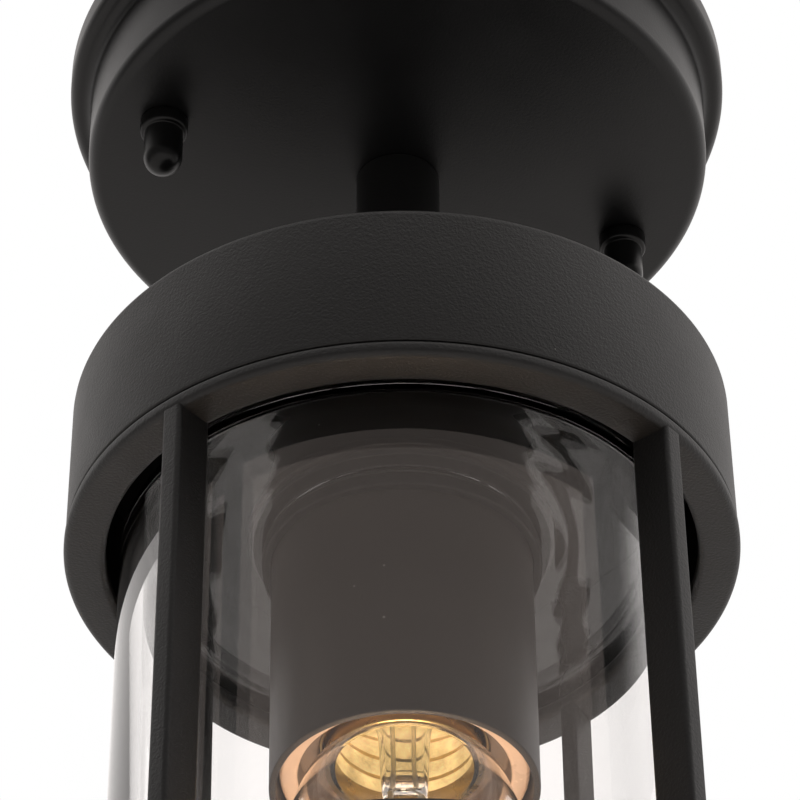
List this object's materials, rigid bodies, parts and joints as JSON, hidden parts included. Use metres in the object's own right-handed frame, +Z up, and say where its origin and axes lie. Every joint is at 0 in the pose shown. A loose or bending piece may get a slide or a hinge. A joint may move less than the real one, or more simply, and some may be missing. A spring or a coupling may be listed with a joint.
{
  "type": "porch ceiling lantern",
  "caption": "Semi-flush outdoor ceiling lantern: round canopy and short stem, a drum cap over an open cage of flat bars and rings, a clear glass cylinder and a screw-in bulb.",
  "frame": {"origin": "centre of the crossbar's top face, on the ceiling plane", "axes": "+Z up out of the ceiling, +X along the crossbar through the two cap nuts"},
  "size_m": [0.12, 0.12, 0.2755],
  "materials": {
    "canopy_paint": "fine-textured black powder coat",
    "frame_paint": "fine-textured black powder coat",
    "stem_paint": "satin black",
    "nut_paint": "satin black",
    "sleeve_paint": "satin black",
    "plated_steel": "zinc plated",
    "ground_paint": "satin green",
    "foam": "closed-cell foam",
    "silicone": "matte silicone",
    "clear_glass": "clear polished",
    "holder_moulding": "moulded phenolic",
    "brass_sheet": "bright pressed",
    "cap_metal": "bright rolled",
    "cap_insulator": "black vitrite",
    "solder": "dull solder",
    "bulb_glass": "clear polished",
    "stem_glass": "clear pressed",
    "phosphor": "satin coating",
    "lead_wire": "drawn wire"
  },
  "bodies": {
    "lantern": {"crossbar": "plated_steel", "canopy_studs": "plated_steel", "stud_lock_nuts": "plated_steel", "ground_screw": "ground_paint", "canopy": "canopy_paint", "canopy_gasket": "foam", "stem_tube": "stem_paint", "threaded_pipe": "plated_steel", "upper_washer": "plated_steel", "upper_nut": "plated_steel", "lower_washer": "plated_steel", "lower_nut": "plated_steel", "drum": "frame_paint", "frame_top_ring": "frame_paint", "frame_middle_arcs": "frame_paint", "frame_bottom_ring": "frame_paint", "frame_posts": "frame_paint", "cage_screws": "nut_paint", "frame_bar_1": "frame_paint", "frame_bar_2": "frame_paint", "frame_bar_3": "frame_paint", "frame_bar_4": "frame_paint", "upper_gasket": "silicone", "socket_sleeve": "sleeve_paint", "holder_bushing": "plated_steel", "holder_screws": "plated_steel", "lamp_holder": "holder_moulding", "holder_shell": "brass_sheet", "holder_contact": "brass_sheet"},
    "cap_nut_left": {"cap_nut_left": "nut_paint"},
    "cap_nut_right": {"cap_nut_right": "nut_paint"},
    "glass": {"glass": "clear_glass"},
    "retaining_ring": {"retaining_ring": "sleeve_paint", "lower_gasket": "silicone"},
    "bulb": {"bulb_cap": "cap_metal", "bulb_insulator": "cap_insulator", "bulb_contact": "solder", "bulb_envelope": "bulb_glass", "bulb_stem": "stem_glass", "bulb_filaments": "phosphor", "bulb_wires": "lead_wire"}
  },
  "joints": [
    {"name": "cap_nut_left_off", "type": "slide", "parent": "lantern", "child": "cap_nut_left", "axis": [0, 0, -1], "range_m": [0, 0.008]},
    {"name": "cap_nut_right_off", "type": "slide", "parent": "lantern", "child": "cap_nut_right", "axis": [0, 0, -1], "range_m": [0, 0.008]},
    {"name": "bulb_out", "type": "slide", "parent": "lantern", "child": "bulb", "axis": [0, 0, -1], "range_m": [0, 0.026]},
    {"name": "glass_drop", "type": "slide", "parent": "lantern", "child": "glass", "axis": [0, 0, -1], "range_m": [0, 0.052]},
    {"name": "retaining_ring_drop", "type": "slide", "parent": "lantern", "child": "retaining_ring", "axis": [0, 0, -1], "range_m": [0, 0.052]}
  ],
  "couplings": [
    {"joint": "retaining_ring_drop", "follows": "glass_drop", "ratio": 1}
  ]
}
